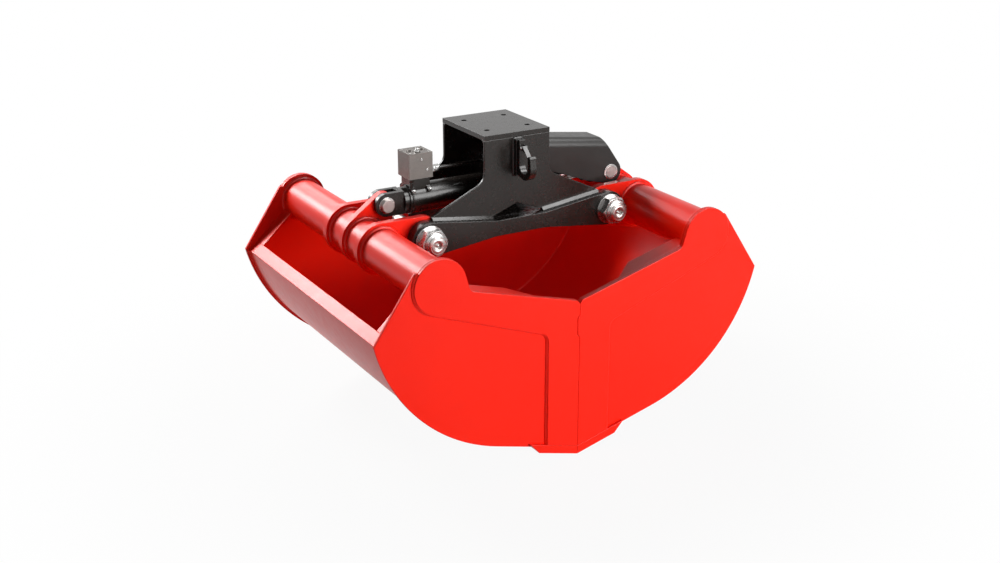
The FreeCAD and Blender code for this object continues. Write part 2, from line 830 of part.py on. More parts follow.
def cylinder_rod():
    rod = round_x(rod_radius, piston_end - piston, rod_fork_end)
    return rod.fuse(round_x(rod_thread_radius, rod_fork_end, rod_fork_end + rod_thread))


def seal_span():
    middle = piston_end - piston / 2
    return middle - seal_width / 2, middle + seal_width / 2


def cylinder_piston():
    body = round_x(bore_radius - running, piston_end - piston, piston_end)
    body = body.cut(round_x(rod_radius + seat, piston_end - piston, piston_end))
    groove = round_x(bore_radius, *seal_span()).cut(round_x(bore_radius - seal_depth, *seal_span()))
    return body.cut(groove)


def piston_seal():
    ring = round_x(bore_radius - running, *seal_span())
    return ring.cut(round_x(bore_radius - seal_depth, *seal_span()))


def rod_fork():
    """Mirror of the base fork, screwed on the rod's thread."""
    collar = left_pin_x + fork_length
    body = fork().fuse(round_x(rod_collar_radius, collar, collar + rod_collar))
    body = to_left(body.removeSplitter())
    return body.cut(round_x(rod_thread_radius + seat, rod_fork_end, rod_fork_end + rod_thread))


def lug_pin(sx, half):
    return round_y(lug_pin_radius, -half, half, sx * lug_half_span, lug_z)


def retaining_rings(sx, face):
    ring = ring_y(retaining_ring_radius, lug_pin_radius + seat, face + near,
                  face + near + retaining_ring, sx * lug_half_span, lug_z)
    return front_and_rear(ring)


def guard_side():
    """Side view of the rod guard, carried on above its roof: round nose, end, open rear, belly."""
    nose = (lug_half_span, lug_z)
    corner = (guard_top_x, lug_z + guard_top_front)
    face = touch(corner, nose, guard_nose_radius, 1)
    belly = (guard_belly_x, lug_z + guard_belly)
    chin = touch(belly, nose, guard_nose_radius, -1)
    above = lug_z + 2 * guard_top_back
    over = polar(corner, math.dist(corner, face), heading(face, corner))
    ahead = face[0] + (above - face[1]) * (over[0] - face[0]) / (over[1] - face[1])
    return outline((guard_back_x, lug_z + guard_bottom_back), (guard_back_x, above), (ahead, above),
                   face, (polar(nose, guard_nose_radius, -20), chin), belly)


def arch(half, top, bend, low, x):
    """Face across the guard at x: an upside-down U with bent corners."""
    def corner(sy, degrees):
        angle = math.radians(degrees)
        return V(x, sy * (half - bend + bend * math.cos(angle)), top - bend + bend * math.sin(angle))

    edges = [Part.LineSegment(V(x, half, low), V(x, -half, low)).toShape(),
             Part.LineSegment(V(x, -half, low), corner(-1, 0)).toShape(),
             Part.Arc(corner(-1, 0), corner(-1, 45), corner(-1, 90)).toShape(),
             Part.LineSegment(corner(-1, 90), corner(1, 90)).toShape(),
             Part.Arc(corner(1, 90), corner(1, 45), corner(1, 0)).toShape(),
             Part.LineSegment(corner(1, 0), V(x, half, low)).toShape()]
    return Part.Face(Part.Wire(edges))


def rod_guard():
    """Folded hood over the rod: a sloping roof and two sides that hang on the right lug pin."""
    low = lug_z - 2 * guard_nose_radius
    top = lug_z + guard_top_back
    steep = (guard_top_front - guard_top_back) / (guard_top_x - guard_back_x)
    length = lug_half_span + 2 * guard_nose_radius - guard_back_x
    along = V(length, 0, length * steep)
    floor = low - 2 * guard_top_back
    outside = arch(guard_half_width, top, guard_bend, floor, guard_back_x).extrude(along)
    inside = arch(guard_half_width - guard_sheet, top - guard_sheet, guard_bend - guard_sheet,
                  floor, guard_back_x).extrude(along)
    hood = outside.cut(inside).common(slab(guard_side(), -guard_half_width, guard_half_width))
    return hood.cut(round_y(lug_pin_radius + seat, -guard_half_width, guard_half_width,
                            lug_half_span, lug_z))


def guard_spacers():
    spacer = ring_y(guard_spacer_radius, lug_pin_radius + seat, fork_half_width + near / 2,
                    guard_half_width - guard_sheet - near / 2, lug_half_span, lug_z)
    return front_and_rear(spacer)


# ---- Valve and pressure pipe on the barrel ----

block_low = lug_z + block_rise
block_high = block_low + block_height
block_right = block_x + block_length / 2
block_front = -block_width / 2
pipe_z = lug_z + pipe_rise
pipe_low_z = lug_z + pipe_low_rise
port_xs = (block_x - port_offset, block_x + port_offset)
plug_places = [(block_x + plug[0], block_low + plug[1]) for plug in (upper_plug, lower_plug)]


def valve_block():
    body = block(block_x - block_length / 2, block_right, block_front, -block_front,
                 block_low, block_high)
    for x in port_xs:
        body = body.cut(Part.makeCylinder(port_radius, port_depth, V(x, 0, block_high - port_depth)))
    for x, z in plug_places:
        body = body.cut(round_y(plug_radius + seat, block_front,
                                block_front + plug_length - plug_proud, x, z))
    return body


def valve_saddle():
    half = saddle_length / 2
    body = block(block_x - half, block_x + half, -saddle_width / 2, saddle_width / 2,
                 lug_z + band_clip_rise, block_low)
    outer = barrel_radius + near + band_clip_wall
    for start in (block_x - half, block_x + half - band_clip):
        upper = block(start, start + band_clip, -outer, outer, lug_z + band_clip_rise, lug_z + outer)
        body = body.fuse(round_x(outer, start, start + band_clip).common(upper))
    return body.cut(round_x(barrel_radius + near, block_x - half, block_x + half)).removeSplitter()


def valve_plugs():
    return [round_y(plug_radius, block_front - plug_proud, block_front + plug_length - plug_proud,
                    x, z) for x, z in plug_places]


def valve_fitting():
    nut = hexagon(fitting_flats, fitting_nut, V(block_right, 0, pipe_z), ACROSS)
    end = block_right + fitting_nut
    return nut.fuse(round_x(fitting_stem_radius, end, end + fitting_stem, pipe_z)).removeSplitter()


def barrel_port():
    boss = Part.makeCylinder(port_boss_radius, port_boss_top, V(port_x, 0, lug_z))
    socket = round_x(port_socket_radius, port_x - port_socket, port_x, pipe_low_z)
    return boss.fuse(socket).cut(round_x(barrel_radius + near, port_x - 2 * port_boss_radius,
                                         port_x + 2 * port_boss_radius)).removeSplitter()


def pressure_pipe():
    """Pipe from the valve to the port at the rod end: two bends between straight runs."""
    start = (block_right + fitting_nut + fitting_stem, pipe_z)
    end = (port_x - port_socket, pipe_low_z)
    low_corner = (end[0] - pipe_bend, pipe_low_z)
    high_corner = (low_corner[0] - 2 * (pipe_z - pipe_low_z), pipe_z)
    first = rounded(start, high_corner, low_corner, pipe_bend)
    second = rounded(high_corner, low_corner, end, pipe_bend)
    path = Part.Wire([
        Part.LineSegment(at(start), at(first[0])).toShape(),
        Part.Arc(at(first[0]), at(first[1]), at(first[2])).toShape(),
        Part.LineSegment(at(first[2]), at(second[0])).toShape(),
        Part.Arc(at(second[0]), at(second[1]), at(second[2])).toShape(),
        Part.LineSegment(at(second[2]), at(end)).toShape()])
    section = Part.Wire(Part.makeCircle(pipe_radius, at(start), ACROSS))
    return path.makePipeShell([section], True, False)


# ---- Writing the parts ----

def save(name, pieces):
    pieces = pieces if isinstance(pieces, list) else [pieces]
    shape = pieces[0] if len(pieces) == 1 else Part.makeCompound(pieces)
    shape.exportStep("parts/" + name + ".step")


def save_jaw(name, pieces, left):
    """Saves a jaw's pieces under its side's name, mirrored for the left jaw."""
    pieces = pieces if isinstance(pieces, list) else [pieces]
    side = "left" if left else "right"
    save("jaw_" + side + "_" + name, [to_left(piece) for piece in pieces] if left else pieces)


os.makedirs("parts", exist_ok=True)

save("frame_top_plate", frame_top_plate())
save("frame_side_front", to_front(frame_side()))
save("frame_side_rear", frame_side())
save("frame_beam_front", to_front(frame_beam()))
save("frame_beam_rear", frame_beam())
save("frame_cross_plate", frame_cross_plate())
save("frame_welds", frame_welds())
save("hinge_pin_left", hinge_pin(-1))
save("hinge_pin_right", hinge_pin(1))
save("hinge_washers", at_pin_ends(pin_washer))
save("hinge_nuts", at_pin_ends(pin_nut))
save("hinge_thrust_rings", at_pin_ends(thrust_ring))
save("grease_nipples", at_pin_ends(grease_nipple))
save("hook_base_plate", hook_base_plate())
save("hook_body", hook_with_ears())
save("hook_latch", hook_latch())
save("hook_latch_pin", hook_latch_pin())
save("hook_latch_spring", hook_latch_spring())

for left in (True, False):
    save_jaw("cheek_front", to_front(jaw_cheek()), left)
    save_jaw("cheek_rear", jaw_cheek(), left)
    save_jaw("bands", front_and_rear(jaw_band(-1 if left else 1)), left)
    save_jaw("shell", jaw_shell(), left)
    save_jaw("lip", jaw_lip(), left)
    save_jaw("tube", jaw_tube(), left)
    save_jaw("arms", front_and_rear(jaw_arm()), left)
    save_jaw("lug", jaw_lug(), left)
    save_jaw("bushes", jaw_bushes(), left)
    save_jaw("corner_strips", jaw_corner_strips(), left)
    save_jaw("tube_welds", jaw_tube_welds(), left)

save("cylinder_fork", cylinder_fork())
save("cylinder_barrel", cylinder_barrel())
save("cylinder_gland", cylinder_gland())
save("cylinder_wiper", cylinder_wiper())
save("lug_pin_left", lug_pin(-1, left_pin_half))
save("lug_rings_left", retaining_rings(-1, fork_half_width))
save("valve_block", valve_block())
save("valve_saddle", valve_saddle())
save("valve_plugs", valve_plugs())
save("valve_fitting", valve_fitting())
save("barrel_port", barrel_port())
save("pressure_pipe", pressure_pipe())

save("cylinder_rod", cylinder_rod())
save("cylinder_piston", cylinder_piston())
save("piston_seal", piston_seal())
save("rod_fork", rod_fork())
save("rod_guard", rod_guard())
save("guard_spacers", guard_spacers())
save("lug_pin_right", lug_pin(1, right_pin_half))
save("lug_rings_right", retaining_rings(1, guard_half_width))
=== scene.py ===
import bmesh
import bpy
import json
import math
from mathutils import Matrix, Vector

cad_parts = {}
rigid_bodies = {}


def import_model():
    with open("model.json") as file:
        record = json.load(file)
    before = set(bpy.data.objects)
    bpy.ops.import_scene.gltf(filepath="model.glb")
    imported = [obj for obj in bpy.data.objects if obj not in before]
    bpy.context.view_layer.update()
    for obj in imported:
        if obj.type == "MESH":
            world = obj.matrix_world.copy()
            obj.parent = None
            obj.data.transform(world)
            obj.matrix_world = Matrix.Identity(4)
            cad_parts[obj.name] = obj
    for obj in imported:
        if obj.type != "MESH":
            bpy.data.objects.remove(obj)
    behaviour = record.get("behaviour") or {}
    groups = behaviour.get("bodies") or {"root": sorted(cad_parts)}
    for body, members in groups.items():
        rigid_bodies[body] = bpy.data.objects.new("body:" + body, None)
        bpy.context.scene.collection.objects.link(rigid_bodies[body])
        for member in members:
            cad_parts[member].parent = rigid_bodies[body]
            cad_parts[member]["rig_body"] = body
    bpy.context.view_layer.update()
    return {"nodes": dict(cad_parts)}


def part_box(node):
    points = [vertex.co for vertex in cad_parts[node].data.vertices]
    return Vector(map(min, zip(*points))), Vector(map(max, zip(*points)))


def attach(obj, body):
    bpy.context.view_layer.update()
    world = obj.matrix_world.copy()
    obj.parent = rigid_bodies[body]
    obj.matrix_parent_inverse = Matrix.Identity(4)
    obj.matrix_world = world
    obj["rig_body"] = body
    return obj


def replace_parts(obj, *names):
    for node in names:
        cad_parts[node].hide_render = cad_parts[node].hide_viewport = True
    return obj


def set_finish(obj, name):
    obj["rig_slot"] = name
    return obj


# Clamshell bucket for a loader crane: two red enamelled jaws, a black frame with a lifting hook,
# one cylinder with its rod guard and a valve block. Metres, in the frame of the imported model.

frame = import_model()
nodes = frame["nodes"]

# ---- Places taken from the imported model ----

merge_distance = 0.00001        # points closer than this are one


def middle(node):
    low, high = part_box(node)
    return (low + high) / 2


tube = middle("jaw_right_tube")
tube_radius = (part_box("jaw_right_tube")[1].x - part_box("jaw_right_tube")[0].x) / 2
hinge = middle("hinge_pin_right")
pin_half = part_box("hinge_pin_right")[1].y
nut_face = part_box("hinge_nuts")[1].y
lug_pin = middle("lug_pin_right")
axis_z = lug_pin.z
cheek_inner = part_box("jaw_right_cheek_rear")[0].y
cheek_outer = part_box("jaw_right_cheek_rear")[1].y
arm_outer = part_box("jaw_right_arms")[1].y
lug_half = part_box("jaw_right_lug")[1].y
edge_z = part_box("jaw_right_lip")[0].z

# Sizes of a jaw that no box gives, drawn as the right jaw, with heights above the cutting edge
disc_radius = 0.083             # round the torsion tube, on a cheek
disc_end_angle = 37.5           # degrees, where the level top behind the disc begins
arm_thickness = 0.025
band_corner = (0.109, 0.417)    # inner corner of a side band, before rounding
band_corner_radius = 0.032
lip_thickness = 0.026
lip_length = 0.142
lip_back_angle = math.radians(48.0)
floor_slope = math.radians(14.9)
floor_end_x = 0.280             # where the flat bottom turns into the round back
shell_inset = 0.010             # the cheeks stand proud of the shell by this
shell_thickness = 0.008
floor_rise = lip_thickness - shell_inset

# Bottom and round back of the right jaw in X and Z
heel = (0.6715, edge_z + 0.490)
floor_end = (floor_end_x, edge_z + floor_rise / math.cos(floor_slope)
             + floor_end_x * math.tan(floor_slope))
step_x, step_z = heel[0] - floor_end[0], heel[1] - floor_end[1]
lean_x, lean_z = -math.sin(floor_slope), math.cos(floor_slope)
back_radius = (step_x ** 2 + step_z ** 2) / (2 * (step_x * lean_x + step_z * lean_z))
back_centre = (floor_end[0] + back_radius * lean_x, floor_end[1] + back_radius * lean_z)


# ---- Camera, lamps, floor ----

def set_camera():
    data = bpy.data.cameras.new("camera")
    data.sensor_width = 36.0
    data.lens = 51.617
    camera = bpy.data.objects.new("camera", data)
    camera.location = (-2.20098, -3.79337, 1.09721)
    camera.rotation_euler = (math.radians(69.6185), 0.0, math.radians(-30.3117))
    bpy.context.scene.collection.objects.link(camera)
    bpy.context.scene.camera = camera


def softbox(name, place, aim, width, height, watts, seen_in="both"):
    data = bpy.data.lights.new(name, "AREA")
    data.shape = "RECTANGLE"
    data.size, data.size_y, data.energy = width, height, watts
    lamp = bpy.data.objects.new(name, data)
    lamp.location = place
    lamp.visible_diffuse = seen_in != "gloss"
    lamp.visible_glossy = seen_in != "matt"
    lamp.rotation_euler = (Vector(aim) - Vector(place)).to_track_quat("-Z", "Y").to_euler()
    bpy.context.scene.collection.objects.link(lamp)


def seen_directly(nodes_, links, in_gloss=1.0):
    """1 for rays that come from the camera or a clear surface, in_gloss from a gloss, else 0."""
    path = nodes_.new("ShaderNodeLightPath")
    gloss = nodes_.new("ShaderNodeMath")
    gloss.operation = "MULTIPLY"
    gloss.inputs[1].default_value = in_gloss
    links.new(path.outputs["Is Glossy Ray"], gloss.inputs[0])
    first = nodes_.new("ShaderNodeMath")
    first.operation = "MAXIMUM"
    links.new(path.outputs["Is Camera Ray"], first.inputs[0])
    links.new(gloss.outputs[0], first.inputs[1])
    both = nodes_.new("ShaderNodeMath")
    both.operation = "MAXIMUM"
    links.new(first.outputs[0], both.inputs[0])
    links.new(path.outputs["Is Transmission Ray"], both.inputs[1])
    return both.outputs[0]


def white_room():
    world = bpy.data.worlds.new("white_room")
    world.use_nodes = True
    tree, links = world.node_tree.nodes, world.node_tree.links
    tree.clear()
    dim = tree.new("ShaderNodeBackground")
    dim.inputs["Color"].default_value = (1.0, 0.99, 0.98, 1.0)
    dim.inputs["Strength"].default_value = 0.06
    white = tree.new("ShaderNodeBackground")
    white.inputs["Color"].default_value = (1.0, 1.0, 1.0, 1.0)
    mix = tree.new("ShaderNodeMixShader")
    links.new(seen_directly(tree, links), mix.inputs["Fac"])
    links.new(dim.outputs[0], mix.inputs[1])
    links.new(white.outputs[0], mix.inputs[2])
    out = tree.new("ShaderNodeOutputWorld")
    links.new(mix.outputs[0], out.inputs["Surface"])
    bpy.context.scene.world = world


def white_floor():
    bpy.ops.object.select_all(action="DESELECT")
    bpy.ops.mesh.primitive_plane_add(size=160.0, location=(0, 0, edge_z - 0.0005))
    floor = bpy.context.object
    floor.name = "studio_floor"
    mat = bpy.data.materials.new("floor_white")
    mat.use_nodes = True
    tree, links = mat.node_tree.nodes, mat.node_tree.links
    tree.clear()
    matt = tree.new("ShaderNodeBsdfDiffuse")
    matt.inputs["Color"].default_value = (0.42, 0.42, 0.42, 1.0)
    glow = tree.new("ShaderNodeEmission")
    glow.inputs["Color"].default_value = (1.0, 1.0, 1.0, 1.0)
    place = tree.new("ShaderNodeTexCoord")
    reach = tree.new("ShaderNodeVectorMath")
    reach.operation = "LENGTH"
    links.new(place.outputs["Object"], reach.inputs[0])
    fade = tree.new("ShaderNodeMapRange")
    fade.interpolation_type = "SMOOTHSTEP"
    links.new(reach.outputs["Value"], fade.inputs["Value"])
    for name, number in (("From Min", 0.8), ("From Max", 1.9), ("To Min", 0.94), ("To Max", 1.0)):
        fade.inputs[name].default_value = number
    share = tree.new("ShaderNodeMath")
    share.operation = "MULTIPLY"
    links.new(seen_directly(tree, links, in_gloss=0.7), share.inputs[0])
    links.new(fade.outputs["Result"], share.inputs[1])
    mix = tree.new("ShaderNodeMixShader")
    links.new(share.outputs[0], mix.inputs["Fac"])
    links.new(matt.outputs[0], mix.inputs[1])
    links.new(glow.outputs[0], mix.inputs[2])
    out = tree.new("ShaderNodeOutputMaterial")
    links.new(mix.outputs[0], out.inputs["Surface"])
    floor.data.materials.append(mat)


# ---- Finishes ----

class Finish:
    """A finish being mixed: its nodes are placed in the object's own coordinates."""

    def __init__(self, name):
        self.mat = bpy.data.materials.new(name)
        self.mat.use_nodes = True
        self.nodes, self.links = self.mat.node_tree.nodes, self.mat.node_tree.links
        self.shader = self.nodes["Principled BSDF"]
        self.place = self.nodes.new("ShaderNodeTexCoord").outputs["Object"]

    def set(self, **values):
        for name, value in values.items():
            self.shader.inputs[name.replace("_", " ")].default_value = value

    def noise(self, scale, detail=2.0, rough=0.5, where=None):
        node = self.nodes.new("ShaderNodeTexNoise")
        node.inputs["Scale"].default_value = scale
        node.inputs["Detail"].default_value = detail
        node.inputs["Roughness"].default_value = rough
        self.links.new(where or self.place, node.inputs["Vector"])
        return node.outputs["Fac"]

    def stretched(self, x, y, z):
        node = self.nodes.new("ShaderNodeMapping")
        node.inputs["Scale"].default_value = (x, y, z)
        self.links.new(self.place, node.inputs["Vector"])
        return node.outputs["Vector"]

    def colour(self, value, dark, light, start=0.3, end=0.7):
        """Base colour that goes from dark to light as the value goes from start to end."""
        node = self.nodes.new("ShaderNodeValToRGB")
        stops = zip(node.color_ramp.elements, (start, end), (dark, light))
        for element, position, tone in stops:
            element.position = position
            element.color = (*tone, 1.0)
        self.links.new(value, node.inputs["Fac"])
        self.join("Base Color", node.outputs["Color"])

    def roughness(self, value, low, high, start=0.3, end=0.7):
        """Roughness that goes from low to high as the value goes from start to end."""
        node = self.nodes.new("ShaderNodeMapRange")
        self.links.new(value, node.inputs["Value"])
        for name, number in (("From Min", start), ("From Max", end),
                             ("To Min", low), ("To Max", high)):
            node.inputs[name].default_value = number
        self.join("Roughness", node.outputs["Result"])

    def math(self, kind, first, second):
        node = self.nodes.new("ShaderNodeMath")
        node.operation = kind
        for socket, value in zip(node.inputs, (first, second)):
            if isinstance(value, (int, float)):
                socket.default_value = value
            else:
                self.links.new(value, socket)
        return node.outputs[0]

    def relief(self, height, depth, strength=1.0, under=None):
        node = self.nodes.new("ShaderNodeBump")
        node.inputs["Strength"].default_value = strength
        node.inputs["Distance"].default_value = depth
        self.links.new(height, node.inputs["Height"])
        if under:
            self.links.new(under, node.inputs["Normal"])
        return node.outputs["Normal"]

    def join(self, socket, value):
        self.links.new(value, self.shader.inputs[socket])

    def sprayed_coat(self):
        """The faint waves of an enamel that was sprayed on."""
        self.join("Normal", self.relief(self.noise(260.0, 1.0), 0.0003, 0.008))

    def turning_marks(self, x, z, pitch):
        """Rings round an axis along Y through (x, z), and the same on the mirrored side."""
        split = self.nodes.new("ShaderNodeSeparateXYZ")
        self.links.new(self.place, split.inputs[0])
        across = self.math("SUBTRACT", self.math("ABSOLUTE", split.outputs["X"], 0), x)
        up = self.math("SUBTRACT", split.outputs["Z"], z)
        reach = self.math("SQRT", self.math("ADD", self.math("MULTIPLY", across, across),
                                            self.math("MULTIPLY", up, up)), 0)
        return self.math("SINE", self.math("MULTIPLY", reach, 2 * math.pi / pitch), 0)


def red_enamel():
    f = Finish("red_enamel")
    f.set(Specular_IOR_Level=0.25)
    f.colour(f.noise(2.4, 3.0), (0.80, 0.0105, 0.0015), (0.87, 0.0135, 0.0025))
    f.roughness(f.noise(38.0, 3.0), 0.28, 0.33)
    f.sprayed_coat()
    return f.mat


def black_enamel():
    f = Finish("black_enamel")
    f.set(Specular_IOR_Level=0.36)
    f.colour(f.noise(5.0, 3.0), (0.011, 0.0085, 0.0070), (0.015, 0.0118, 0.0100))
    f.roughness(f.noise(45.0, 3.0), 0.23, 0.29)
    f.sprayed_coat()
    return f.mat


def ground_pin_steel():
    f = Finish("ground_pin_steel")
    f.set(Metallic=1.0)
    f.colour(f.noise(22.0, 4.0), (0.50, 0.47, 0.45), (0.60, 0.57, 0.55))
    f.roughness(f.noise(140.0, 4.0), 0.26, 0.38)
    marks = f.relief(f.turning_marks(hinge.x, hinge.z, 0.0009), 0.00006, 0.4)
    f.join("Normal", f.relief(f.noise(900.0, 2.0), 0.0001, 0.12, under=marks))
    return f.mat


def lug_pin_steel():
    f = Finish("lug_pin_steel")
    f.set(Metallic=1.0)
    f.colour(f.noise(30.0, 4.0), (0.30, 0.26, 0.25), (0.38, 0.335, 0.32))
    f.roughness(f.noise(120.0, 4.0), 0.34, 0.46)
    marks = f.relief(f.turning_marks(lug_pin.x, lug_pin.z, 0.0008), 0.00006, 0.4)
    f.join("Normal", f.relief(f.noise(800.0, 2.0), 0.0001, 0.15, under=marks))
    return f.mat


def zinc_plating():
    f = Finish("zinc_plating")
    f.set(Metallic=1.0)
    f.colour(f.noise(60.0, 3.0), (0.42, 0.42, 0.41), (0.56, 0.55, 0.54))
    f.roughness(f.noise(220.0, 3.0), 0.16, 0.28)
    f.join("Normal", f.relief(f.noise(1200.0, 2.0), 0.00008, 0.15))
    return f.mat


# Rougher zinc for the hinge nuts, washers and collars. Its base colour is darker than the other
# zinc: painted shade, standing in for the dark reflections these parts show.
def rough_zinc_painted_dark():
    f = Finish("rough_zinc_painted_dark")
    f.set(Metallic=1.0)
    f.colour(f.noise(45.0, 3.0), (0.33, 0.325, 0.32), (0.46, 0.45, 0.445))
    f.roughness(f.noise(180.0, 3.0), 0.22, 0.32)
    f.join("Normal", f.relief(f.noise(900.0, 2.0), 0.00008, 0.15))
    return f.mat


def satin_black():
    f = Finish("satin_black")
    f.set(Specular_IOR_Level=0.32)
    f.colour(f.noise(6.0, 3.0), (0.011, 0.0095, 0.0085), (0.016, 0.0138, 0.0125))
    f.roughness(f.noise(50.0, 3.0), 0.34, 0.42)
    f.sprayed_coat()
    return f.mat


def milled_valve_steel():
    f = Finish("milled_valve_steel")
    f.set(Metallic=0.85)
    grain = f.noise(60.0, 4.0, 0.6, f.stretched(1.0, 1.0, 22.0))
    f.colour(grain, (0.135, 0.122, 0.113), (0.185, 0.168, 0.156), 0.25, 0.75)
    f.roughness(f.noise(90.0, 3.0), 0.36, 0.48)
    f.join("Normal", f.relief(grain, 0.00012, 0.25))
    return f.mat


def bearing_bronze():
    f = Finish("bearing_bronze")
    f.set(Metallic=1.0)
    f.colour(f.noise(40.0, 4.0), (0.52, 0.31, 0.13), (0.66, 0.43, 0.20))
    f.roughness(f.noise(150.0, 3.0), 0.28, 0.42)
    f.join("Normal", f.relief(f.turning_marks(hinge.x, hinge.z, 0.0007), 0.00006, 0.4))
    return f.mat


def hard_chrome():
    f = Finish("hard_chrome")
    f.set(Metallic=1.0)
    drawn = f.noise(30.0, 3.0, 0.5, f.stretched(40.0, 1.0, 1.0))
    f.colour(drawn, (0.70, 0.71, 0.72), (0.78, 0.79, 0.80))
    f.roughness(f.noise(70.0, 2.0), 0.06, 0.11)
    f.join("Normal", f.relief(drawn, 0.00003, 0.2))
    return f.mat


def turned_iron():
    f = Finish("turned_iron")
    f.set(Metallic=1.0)
    f.colour(f.noise(80.0, 4.0), (0.14, 0.14, 0.145), (0.22, 0.22, 0.22))
    f.roughness(f.noise(160.0, 3.0), 0.4, 0.55)
    f.join("Normal", f.relief(f.noise(400.0, 3.0), 0.0002, 0.25))
    return f.mat


def seal_rubber():
    f = Finish("seal_rubber_black")
    f.colour(f.noise(50.0, 3.0), (0.012, 0.012, 0.013), (0.024, 0.023, 0.023))
    f.roughness(f.noise(120.0, 3.0), 0.5, 0.66)
    f.join("Normal", f.relief(f.noise(900.0, 2.0), 0.0001, 0.2))
    return f.mat


def drawn_spring_wire():
    f = Finish("drawn_spring_wire")
    f.set(Metallic=1.0)
    f.colour(f.noise(300.0, 3.0), (0.40, 0.39, 0.38), (0.58, 0.57, 0.56))
    f.roughness(f.noise(500.0, 2.0), 0.2, 0.32)
    f.join("Normal", f.relief(f.noise(1500.0, 2.0), 0.00005, 0.2))
    return f.mat


finishes = {"red_paint": red_enamel(), "black_paint": black_enamel(),
            "pin_steel": ground_pin_steel(), "zinc_plate": zinc_plating(),
            "valve_steel": milled_valve_steel(), "bronze": bearing_bronze(),
            "chrome": hard_chrome(), "cast_iron": turned_iron(),
            "seal_rubber": seal_rubber(), "spring_steel": drawn_spring_wire()}
lug_pin_finish = lug_pin_steel()
# Zinc painted darker, as shade, for the hinge nuts, washers and collars
nut_zinc_painted_dark = rough_zinc_painted_dark()

# Nodes that look a little different from the others with the same slot; the darker zinc of the
# hinge washers and nuts is painted shade
own_finish = {"lug_pin_left": lug_pin_finish, "lug_pin_right": lug_pin_finish,
              "hinge_washers": nut_zinc_painted_dark, "hinge_nuts": nut_zinc_painted_dark,
              "rod_guard": satin_black()}

# Width of the broken edges of each node, where it isn't the common one, and the nodes with none
common_break = 0.0012
edge_break = {"frame_side_front": 0.002, "frame_side_rear": 0.002,
              "jaw_left_bands": 0.0018, "jaw_right_bands": 0.0018,
              "jaw_left_cheek_front": 0.0018, "jaw_right_cheek_front": 0.0018,
              "valve_block": 0.0006, "valve_plugs": 0.0004, "valve_fitting": 0.0005,
              "hinge_nuts": 0.0006, "hinge_washers": 0.0006, "hinge_thrust_rings": 0.0003,
              "grease_nipples": 0.0003, "hook_latch": 0.0004, "hook_latch_pin": 0.0003,
              "rod_guard": 0.0008, "frame_welds": 0.0005, "cylinder_wiper": 0.0006,
              "lug_rings_left": 0.0004, "lug_rings_right": 0.0004, "pressure_pipe": 0.0003,
              "jaw_left_tube_welds": 0.0004, "jaw_right_tube_welds": 0.0004}
kept_sharp = ("hook_latch_spring", "piston_seal", "cylinder_piston")


def dress_solids():
    """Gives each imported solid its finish, and breaks its sharp edges a little."""
    for name, piece in nodes.items():
        slot = piece.material_slots[0]
        slot.material = finishes[slot.material.name.split(".")[0]]
        slot.material = own_finish.get(name, slot.material)
        if name in kept_sharp:
            continue
        join = piece.modifiers.new("join_points", "WELD")
        join.merge_threshold = merge_distance
        flat = piece.modifiers.new("flat_faces", "DECIMATE")
        flat.decimate_type = "DISSOLVE"
        flat.angle_limit = math.radians(0.3)
        edge = piece.modifiers.new("broken_edges", "BEVEL")
        edge.limit_method = "ANGLE"
        edge.angle_limit = math.radians(32.0)
        edge.width = edge_break.get(name, common_break)
        edge.segments = 2
        shade = piece.modifiers.new("even_shading", "WEIGHTED_NORMAL")
        shade.keep_sharp = False


# ---- Modelling by hand: start a form, push and turn it, finish it ----

def deselect():
    if bpy.context.object and bpy.context.object.mode == "EDIT":
        bpy.ops.object.mode_set(mode="OBJECT")
    bpy.ops.object.select_all(action="DESELECT")


def apply_place():
    bpy.ops.object.transform_apply(location=True, rotation=True, scale=True)


def shape_up():
    """Goes into edit mode with the whole of the active piece selected."""
    bpy.ops.object.mode_set(mode="EDIT")
    bpy.ops.mesh.select_all(action="SELECT")


def close_up():
    """Merges doubled points, turns the faces outwards and leaves edit mode."""
    bpy.ops.mesh.select_all(action="SELECT")
    bpy.ops.mesh.remove_doubles(threshold=merge_distance)
    bpy.ops.mesh.normals_make_consistent(inside=False)
    bpy.ops.object.mode_set(mode="OBJECT")


def settle(name, slot, body, smooth=35.0, finish=None):
    """Names the active piece, gives it its finish and lets it ride on its body."""
    apply_place()
    piece = bpy.context.object
    piece.name = piece.data.name = name
    piece.data.materials.clear()
    piece.data.materials.append(finish or finishes[slot])
    bpy.ops.object.shade_smooth_by_angle(angle=math.radians(smooth))
    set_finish(piece, slot)
    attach(piece, body)
    return piece


def copy_of(piece):
    """A copy with its own mesh, selected and active."""
    deselect()
    twin = piece.copy()
    twin.data = piece.data.copy()
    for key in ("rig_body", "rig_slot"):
        if key in twin:
            del twin[key]
    twin.parent = None
    bpy.context.scene.collection.objects.link(twin)
    twin.select_set(True)
    bpy.context.view_layer.objects.active = twin
    return twin


def flipped(piece, x=1, y=1):
    """A copy mirrored across the middle of the bucket, left to right or front to rear."""
    twin = copy_of(piece)
    twin.scale = (x, y, 1)
    apply_place()
    if x * y < 0:
        shape_up()
        bpy.ops.mesh.flip_normals()
        bpy.ops.object.mode_set(mode="OBJECT")
    return twin


def joined(pieces):
    deselect()
    for piece in pieces:
        piece.select_set(True)
    bpy.context.view_layer.objects.active = pieces[0]
    bpy.ops.object.join()
    return bpy.context.object


def bead_start(place, along, radius, sides=8):
    """First face of a weld bead, at a place and looking along its seam."""
    deselect()
    facing = Vector(along).to_track_quat("Z", "Y").to_euler()
    bpy.ops.mesh.primitive_circle_add(vertices=sides, radius=radius, fill_type="NGON",
                                      location=place, rotation=facing)
    apply_place()
    shape_up()


def bead_run(vector, pitch=0.0035):
    steps = max(1, round(Vector(vector).length / pitch))
    for _ in range(steps):
        bpy.ops.mesh.extrude_region_move(TRANSFORM_OT_translate={"value": Vector(vector) / steps})


